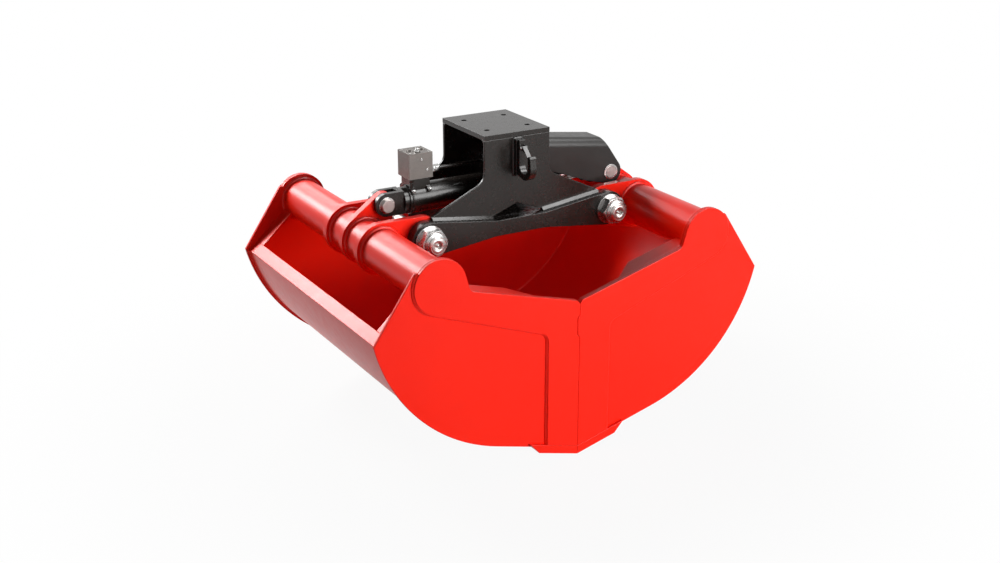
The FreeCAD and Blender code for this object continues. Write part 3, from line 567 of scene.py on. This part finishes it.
def bead_turn(centre, degrees, reach, axis=(0, 1, 0), pitch=0.0035):
    """Carries the bead round a centre, to the left seen from the front; reach is its distance."""
    steps = max(2, round(math.radians(abs(degrees)) * reach / pitch))
    bpy.ops.mesh.spin(steps=steps, angle=math.radians(degrees), center=centre, axis=axis)


def bead_end(sides=8, ripple=0.0004):
    """Closes the bead and lets every second ring of it stand out as a weld ripple."""
    bpy.ops.mesh.select_all(action="SELECT")
    bpy.ops.mesh.normals_make_consistent(inside=False)
    bpy.ops.mesh.select_mode(type="VERT")
    bpy.ops.mesh.select_all(action="DESELECT")
    mesh = bmesh.from_edit_mesh(bpy.context.object.data)
    mesh.verts.ensure_lookup_table()
    for point in mesh.verts:
        point.select_set((point.index // sides) % 2 == 1)
    mesh.select_flush_mode()
    bmesh.update_edit_mesh(bpy.context.object.data)
    bpy.ops.transform.shrink_fatten(value=ripple)
    bpy.ops.object.mode_set(mode="OBJECT")


def turned(profile, place, along=(0, 0, 1), steps=40):
    """Turns a closed profile of (radius, height) corners round an axis, as on a lathe."""
    deselect()
    bpy.ops.mesh.primitive_plane_add(size=0.001, location=(0, 0, 0))
    shape_up()
    bpy.ops.mesh.merge(type="CENTER")
    bpy.ops.transform.translate(value=(profile[0][0], 0, profile[0][1]))
    for (r0, h0), (r1, h1) in zip(profile, profile[1:] + profile[:1]):
        bpy.ops.mesh.extrude_vertices_move(TRANSFORM_OT_translate={"value": (r1 - r0, 0, h1 - h0)})
    bpy.ops.mesh.select_all(action="SELECT")
    bpy.ops.mesh.spin(steps=steps, angle=2 * math.pi, center=(0, 0, 0), axis=(0, 0, 1))
    close_up()
    piece = bpy.context.object
    piece.rotation_euler = Vector(along).to_track_quat("Z", "Y").to_euler()
    piece.location = place
    apply_place()
    return piece


def hex_bar(flats, length, place, along=(0, 0, 1), chamfer=0.0008):
    """Hexagon of a width across flats, standing on its place, with its end edges broken."""
    deselect()
    facing = Vector(along).to_track_quat("Z", "Y").to_euler()
    centre = Vector(place) + Vector(along).normalized() * length / 2
    bpy.ops.mesh.primitive_cylinder_add(vertices=6, radius=flats / math.sqrt(3), depth=length,
                                        location=centre, rotation=facing)
    apply_place()
    piece = bpy.context.object
    edge = piece.modifiers.new("broken", "BEVEL")
    edge.width, edge.segments, edge.limit_method = chamfer, 2, "ANGLE"
    bpy.ops.object.modifier_apply(modifier="broken")
    return piece


def cut_socket(piece, flats, depth, top, along=(0, 0, 1)):
    """Sinks a hexagon socket into the top of a screw or a plug."""
    bottom = Vector(top) - Vector(along).normalized() * depth
    cutter = hex_bar(flats, 2 * depth, bottom, along, chamfer=0.0001)
    deselect()
    piece.select_set(True)
    bpy.context.view_layer.objects.active = piece
    cut = piece.modifiers.new("socket", "BOOLEAN")
    cut.operation, cut.object, cut.solver = "DIFFERENCE", cutter, "EXACT"
    bpy.ops.object.modifier_apply(modifier="socket")
    bpy.data.objects.remove(cutter)
    return piece


# ---- Welds of the jaws ----

def band_welds():
    """Bead round the inner edge of a side band: up from the lip, along it and round the disc."""
    corner = Vector((band_corner[0], cheek_outer, edge_z + band_corner[1]))
    rounding = band_corner_radius
    across = Vector((tube.x - corner.x, tube.z - corner.z))
    rise = math.degrees(math.atan2(across.y, across.x) - math.asin(disc_radius / across.length))
    tangent = math.sqrt(across.length ** 2 - disc_radius ** 2)
    reach = rounding * math.tan(math.radians(90 - rise) / 2)
    lip_z = edge_z + lip_thickness / math.cos(floor_slope) + corner.x * math.tan(floor_slope)
    bead_start((corner.x, cheek_outer, lip_z), (0, 0, 1), radius=0.0058)
    bead_run((0, 0, corner.z - reach - lip_z))
    bead_turn((corner.x + rounding, cheek_outer, corner.z - reach), rise - 90, rounding)
    slant = tangent - reach
    bead_run((slant * math.cos(math.radians(rise)), 0, slant * math.sin(math.radians(rise))))
    bead_turn((tube.x, cheek_outer, tube.z), disc_end_angle - (rise - 90), disc_radius)
    bead_end()
    return settle_jaw_pair("band_weld")


def settle_jaw_pair(name, front_too=True):
    """The active piece, drawn for the right jaw's rear, on both jaws and both sides."""
    right = bpy.context.object
    both = [right]
    if front_too:
        both.append(flipped(right, y=-1))
    right = joined(both)
    left = flipped(right, x=-1)
    settle("left_" + name, "red_paint", "jaw_left", smooth=60)
    deselect()
    right.select_set(True)
    bpy.context.view_layer.objects.active = right
    settle("right_" + name, "red_paint", "jaw_right", smooth=60)
    return left, right


def shell_weld(name, depth, start_x, radius):
    """Bead along a cheek's seam with the bottom and round back, depth inside the cheek's edge."""
    across, along = math.sin(floor_slope), math.cos(floor_slope)
    line = edge_z + floor_rise / along + start_x * math.tan(floor_slope)
    bead_start((start_x - depth * across, cheek_inner, line + depth * along),
               (along, 0, across), radius)
    length = (floor_end[0] - start_x) / along
    bead_run((length * along, 0, length * across), pitch=0.005)
    centre = (back_centre[0], cheek_inner, back_centre[1])
    reach = back_radius - depth
    last = math.degrees(math.asin((heel[1] - shell_inset / 2 - back_centre[1]) / reach))
    bead_turn(centre, last - (math.degrees(floor_slope) - 90), reach, pitch=0.005)
    bead_end(ripple=0.0003)
    return settle_jaw_pair(name)


def lip_weld():
    """Bead across the jaw under the shell, where the lip's bevelled rear edge meets it."""
    rise, slope = math.tan(lip_back_angle), math.tan(floor_slope)
    low_x, low_z = lip_length * math.cos(floor_slope), edge_z + lip_length * math.sin(floor_slope)
    run = (edge_z + lip_thickness / math.cos(floor_slope) + low_x * slope - low_z) / (rise - slope)
    bead_start((low_x + run, -cheek_inner, low_z + run * rise), (0, 1, 0), radius=0.005)
    bead_run((0, 2 * cheek_inner, 0), pitch=0.006)
    bead_end(ripple=0.0003)
    return settle_jaw_pair("lip_weld", front_too=False)


def tube_ring_welds():
    """Beads round the torsion tube at the cheeks, the arms and the lug, in place of plain cones."""
    sides = 10
    deselect()
    bpy.ops.mesh.primitive_torus_add(major_radius=tube_radius + 0.0005, minor_radius=0.0066,
                                     major_segments=120, minor_segments=sides,
                                     location=(tube.x, 0, tube.z), rotation=(math.pi / 2, 0, 0))
    apply_place()
    shape_up()
    bead_end(sides, ripple=0.00035)
    ring = bpy.context.object
    rings = []
    for y in (cheek_inner, arm_outer, arm_outer - arm_thickness, lug_half):
        for side in (-1, 1):
            twin = copy_of(ring)
            twin.location.y = side * y
            apply_place()
            rings.append(twin)
    bpy.data.objects.remove(ring)
    joined(rings)
    left, right = settle_jaw_pair("tube_welds", front_too=False)
    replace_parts(left, "jaw_left_tube_welds")
    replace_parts(right, "jaw_right_tube_welds")


# ---- Hinge pin ends ----

def at_each_pin_end(piece):
    """The active piece, drawn at the right pin's rear end, at all four pin ends in one piece."""
    rear = joined([piece, flipped(piece, x=-1)])
    return joined([rear, flipped(rear, y=-1)])


def pin_threads():
    """The thread that stands out of each hinge nut."""
    pitch, turns = 0.003, 5
    root_radius, height, flank, crest = 0.0252, 0.0014, 0.0013, 0.0004
    deselect()
    bpy.ops.mesh.primitive_plane_add(size=0.001, location=(0, 0, 0))
    shape_up()
    bpy.ops.mesh.merge(type="CENTER")
    bpy.ops.transform.translate(value=(root_radius, 0, 0))
    for step in ((height, 0, flank), (0, 0, crest), (-height, 0, flank)):
        bpy.ops.mesh.extrude_vertices_move(TRANSFORM_OT_translate={"value": step})
    bpy.ops.object.mode_set(mode="OBJECT")
    piece = bpy.context.object
    screw = piece.modifiers.new("thread", "SCREW")
    screw.axis, screw.screw_offset, screw.iterations = "Z", pitch, turns
    screw.steps = screw.render_steps = 48
    bpy.ops.object.modifier_apply(modifier="thread")
    piece.rotation_euler = Vector((0, 1, 0)).to_track_quat("Z", "Y").to_euler()
    piece.location = (hinge.x, pin_half - (turns + 0.4) * pitch, hinge.z)
    apply_place()
    shape_up()
    close_up()
    at_each_pin_end(piece)
    return settle("pin_threads", "pin_steel", "frame")


def nut_collars():
    """Round locking collar on the outer face of each hinge nut."""
    sunk = 0.0004
    profile = [(0.0264, 0.0), (0.0355, 0.0), (0.0355, 0.0042), (0.0345, 0.0056), (0.0318, 0.0064),
               (0.0308, 0.0086), (0.0290, 0.0094), (0.0264, 0.0094)]
    piece = turned(profile, (hinge.x, nut_face - sunk, hinge.z), (0, 1, 0), steps=64)
    at_each_pin_end(piece)
    # The collars take the zinc painted darker as shade, as the nuts do
    return settle("nut_collars", "zinc_plate", "frame", smooth=25, finish=nut_zinc_painted_dark)


def pin_end_rings():
    """Raised and rounded rim of each pin's end face, round its greasing recess."""
    profile = [(0.0121, -0.0030), (0.0121, -0.0004), (0.0132, 0.0006), (0.0172, 0.0010),
               (0.0222, 0.0006), (0.0240, -0.0006), (0.0246, -0.0030)]
    piece = turned(profile, (hinge.x, pin_half - 0.0001, hinge.z), (0, 1, 0), steps=64)
    at_each_pin_end(piece)
    return settle("pin_end_rings", "pin_steel", "frame", smooth=50)


def pin_nipples():
    """Grease nipple in each recess: hexagon, neck and ball head."""
    recess_depth = 0.010
    floor_y = pin_half - recess_depth
    base = hex_bar(0.009, 0.0034, (hinge.x, floor_y, hinge.z), (0, 1, 0), chamfer=0.0004)
    profile = [(0.0, 0.0), (0.0036, 0.0), (0.0036, 0.0012), (0.0022, 0.0026),
               (0.0020, 0.0034), (0.0031, 0.0044), (0.0031, 0.0052), (0.0022, 0.0062),
               (0.0009, 0.0065), (0.0, 0.0062)]
    head = turned(profile, (hinge.x, floor_y + 0.0032, hinge.z), (0, 1, 0), steps=24)
    at_each_pin_end(joined([base, head]))
    piece = settle("pin_nipples", "zinc_plate", "frame", smooth=40)
    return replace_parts(piece, "grease_nipples")


# ---- Valve block and pipe ----

block_low, block_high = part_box("valve_block")
block_mid = (block_low + block_high) / 2


def cap_screw(radius, height, socket, place):
    """Socket head screw with a rounded rim, its head standing on its place."""
    profile = [(0.0, 0.0), (radius, 0.0), (radius, height * 0.82), (radius * 0.9, height),
               (0.0, height)]
    piece = turned(profile, place, steps=32)
    return cut_socket(piece, socket, height * 0.6, Vector(place) + Vector((0, 0, height)))


def valve_screws():
    """Cap screws that hold the block on its saddle, one near each corner of its top."""
    screws = []
    reach_x, reach_y = 0.031, 0.030
    for sx in (-1, 1):
        for sy in (-1, 1):
            place = (block_mid.x + sx * reach_x, block_mid.y + sy * reach_y, block_high.z)
            screws.append(cap_screw(radius=0.0033, height=0.0014, socket=0.0030, place=place))
    joined(screws)
    return settle("valve_screws", "zinc_plate", "barrel")


def valve_cartridge():
    """Cartridge of the check valve: a hexagon with a stepped round cap on the block's top."""
    place = Vector((block_mid.x - 0.004, block_mid.y - 0.022, block_high.z))
    base = hex_bar(0.017, 0.006, place, chamfer=0.0007)
    profile = [(0.0, 0.0), (0.0068, 0.0), (0.0068, 0.0024), (0.0052, 0.0034), (0.0052, 0.0060),
               (0.0042, 0.0070), (0.0, 0.0070)]
    cap = turned(profile, place + Vector((0, 0, 0.0058)), steps=32)
    cut_socket(cap, 0.004, 0.0036, place + Vector((0, 0, 0.0128)))
    joined([base, cap])
    return settle("valve_cartridge", "zinc_plate", "barrel")


def port_faces():
    """Spot-faced ring and first threads round each hose port."""
    profile = [(0.0086, -0.004), (0.0098, -0.004), (0.0098, 0.0), (0.0125, 0.0),
               (0.0125, 0.0006), (0.0121, 0.0010), (0.0094, 0.0010), (0.0086, 0.0002)]
    tooth = [(0.0087, -0.0010), (0.0079, -0.0002), (0.0087, 0.0006)]
    port_offset, first_tooth, pitch = 0.020, 0.002, 0.0018
    rings = []
    for side in (-1, 1):
        x = block_mid.x + side * port_offset
        rings.append(turned(profile, (x, block_mid.y, block_high.z), steps=40))
        for turn in range(4):
            z = block_high.z - first_tooth - pitch * turn
            rings.append(turned(tooth, (x, block_mid.y, z), steps=40))
    joined(rings)
    return settle("valve_port_faces", "valve_steel", "barrel")


def side_plugs():
    """Two small hexagon plugs on the block's right end."""
    profile = [(0.0, 0.0), (0.0030, 0.0), (0.0030, 0.0020), (0.0022, 0.0028), (0.0, 0.0028)]
    plugs = []
    for drop in (0.016, 0.027):
        place = Vector((block_high.x, block_mid.y - 0.024, block_high.z - drop))
        plugs.append(hex_bar(0.0085, 0.0042, place, (1, 0, 0), chamfer=0.0005))
        plugs.append(turned(profile, place + Vector((0.0041, 0, 0)), (1, 0, 0), steps=24))
    joined(plugs)
    return settle("valve_side_plugs", "black_paint", "barrel")


def union_nut(flats, length, place, along):
    """Hexagon nut with a round shoulder at its outer end."""
    nut = hex_bar(flats, length, place, along, chamfer=0.0009)
    half = flats / 2
    profile = [(0.0058, 0.0), (half * 0.86, 0.0), (half * 0.82, 0.0026), (0.0062, 0.0044),
               (0.0058, 0.0044)]
    end = Vector(place) + Vector(along) * (length - 0.0002)
    return joined([nut, turned(profile, end, along, steps=32)])


def pipe_nuts():
    """Union nuts at both ends of the pressure pipe."""
    low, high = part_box("pressure_pipe")
    pipe_radius = 0.0055
    union_nut(0.0215, 0.014, (low.x - 0.0145, 0, high.z - pipe_radius), (1, 0, 0))
    settle("pipe_nut_block", "zinc_plate", "barrel")
    union_nut(0.0200, 0.013, (high.x + 0.0060, 0, low.z + pipe_radius), (-1, 0, 0))
    settle("pipe_nut_port", "black_paint", "barrel")


def base_fitting():
    """Short riser that feeds the closing side of the barrel from the underside of the block."""
    x, y, top = block_low.x + 0.010, -0.030, block_low.z
    foot = top - 0.036
    radius, length = 0.0046, 0.030
    profile = [(0.0, 0.0), (radius, 0.0), (radius, length), (0.0, length)]
    upper = union_nut(0.014, 0.009, (x, y, top), (0, 0, -1))
    riser = turned(profile, (x, y, foot), steps=24)
    lower = union_nut(0.014, 0.008, (x, y, foot), (0, 0, 1))
    joined([upper, riser, lower])
    return settle("base_riser", "black_paint", "barrel")


def clamp_bolts():
    """Bolts that draw the saddle's two clips down on the barrel, in front and at the rear."""
    low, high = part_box("valve_saddle")
    from_end, sunk = 0.0065, 0.0005
    radius, thickness = 0.0056, 0.0008
    washer = [(0.0, 0.0), (radius, 0.0), (radius, thickness), (0.0, thickness)]
    bolts = []
    for x in (low.x + from_end, high.x - from_end):
        place = Vector((x, high.y - sunk, low.z + 0.006))
        bolts.append(hex_bar(0.008, 0.0034, place, (0, 1, 0), chamfer=0.0004))
        bolts.append(turned(washer, place, (0, 1, 0), steps=24))
    rear = joined(bolts)
    joined([rear, flipped(rear, y=-1)])
    return settle("clamp_bolts", "zinc_plate", "barrel")


# ---- Cylinder and hook ----

def cylinder_weld():
    """Bead round the barrel at its base flange."""
    sides = 8
    low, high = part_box("cylinder_barrel")
    deselect()
    bpy.ops.mesh.primitive_torus_add(major_radius=(high.z - low.z) / 2, minor_radius=0.0030,
                                     major_segments=90, minor_segments=sides,
                                     location=(low.x, 0, axis_z), rotation=(0, math.pi / 2, 0))
    apply_place()
    shape_up()
    bead_end(sides, ripple=0.00025)
    return settle("barrel_weld", "black_paint", "barrel", smooth=60)


def gland_screws():
    """Screws in the face of the gland, round the wiper."""
    low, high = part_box("cylinder_gland")
    profile = [(0.0, 0.0), (0.0042, 0.0), (0.0042, 0.0026), (0.0036, 0.0034), (0.0018, 0.0034),
               (0.0018, 0.0014), (0.0, 0.0014)]
    circle_radius = 0.0365
    screws = []
    for number in range(8):
        angle = math.radians(22.5 + 45 * number)
        place = Vector((high.x, circle_radius * math.cos(angle),
                        axis_z + circle_radius * math.sin(angle)))
        screws.append(turned(profile, place, (1, 0, 0), steps=24))
    joined(screws)
    return settle("gland_screws", "zinc_plate", "barrel")


def hook_weld():
    """Bead round the hook's base plate on the front side plate."""
    low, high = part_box("hook_base_plate")
    y, corner = high.y, 0.002
    left, right, bottom, top = low.x + corner, high.x - corner, low.z + corner, high.z - corner
    width, height = high.x - low.x - 2 * corner, high.z - low.z - 2 * corner
    bead_start((left, y, high.z), (1, 0, 0), radius=0.0045)
    for run, turn_x, turn_z in (((width, 0, 0), right, top), ((0, 0, -height), right, bottom),
                                ((-width, 0, 0), left, bottom), ((0, 0, height), left, top)):
        bead_run(run, pitch=0.003)
        bead_turn((turn_x, y, turn_z), -90, corner + 0.004)
    bead_end(ripple=0.0003)
    return settle("hook_weld", "black_paint", "frame", smooth=60)


def latch_pin_heads():
    """Rolled rivet heads on both ends of the latch pin."""
    low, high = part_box("hook_latch_pin")
    mid = (low + high) / 2
    profile = [(0.0, 0.0), (0.0052, 0.0), (0.0050, 0.0012), (0.0036, 0.0022), (0.0, 0.0026)]
    right = turned(profile, (high.x - 0.0002, mid.y, mid.z), (1, 0, 0), steps=28)
    joined([right, flipped(right, x=-1)])
    return settle("latch_pin_heads", "zinc_plate", "frame", smooth=50)


def model_pieces():
    band_welds()
    shell_weld("inner_seam", depth=shell_inset + shell_thickness, start_x=0.10, radius=0.0042)
    shell_weld("outer_seam", depth=shell_inset, start_x=0.171, radius=0.0038)
    lip_weld()
    tube_ring_welds()
    pin_threads()
    nut_collars()
    pin_end_rings()
    pin_nipples()
    valve_screws()
    valve_cartridge()
    port_faces()
    side_plugs()
    pipe_nuts()
    base_fitting()
    clamp_bolts()
    cylinder_weld()
    gland_screws()
    hook_weld()
    latch_pin_heads()


# ---- The whole scene ----

set_camera()
white_room()
white_floor()
softbox("front_light", (1.7, -4.2, 0.0), (0.0, 0.0, -0.55), 3.2, 1.6, 230.0, seen_in="matt")
softbox("front_gloss", (1.7, -4.0, 1.4), (0.0, 0.0, -0.5), 3.0, 2.4, 235.0, seen_in="gloss")
softbox("rear_light", (-0.6, 4.0, 2.1), (0.0, 0.0, -0.3), 3.4, 1.8, 95.0)
softbox("rear_fill", (-1.5, 3.4, 2.2), (-0.3, 0.0, -0.3), 1.4, 1.0, 205.0, seen_in="matt")
softbox("low_fill", (0.5, 4.0, 1.6), (0.3, 0.0, -0.3), 1.6, 0.9, 120.0, seen_in="matt")
softbox("rear_gloss", (-1.95, 3.3, 1.25), (-0.5, 0.0, -0.4), 1.4, 1.1, 84.0, seen_in="gloss")
softbox("top_gloss", (1.2, -0.9, 2.2), (0.0, 0.0, -0.15), 2.4, 0.8, 80.0, seen_in="gloss")
bpy.context.scene.view_settings.view_transform = "Standard"
dress_solids()
model_pieces()
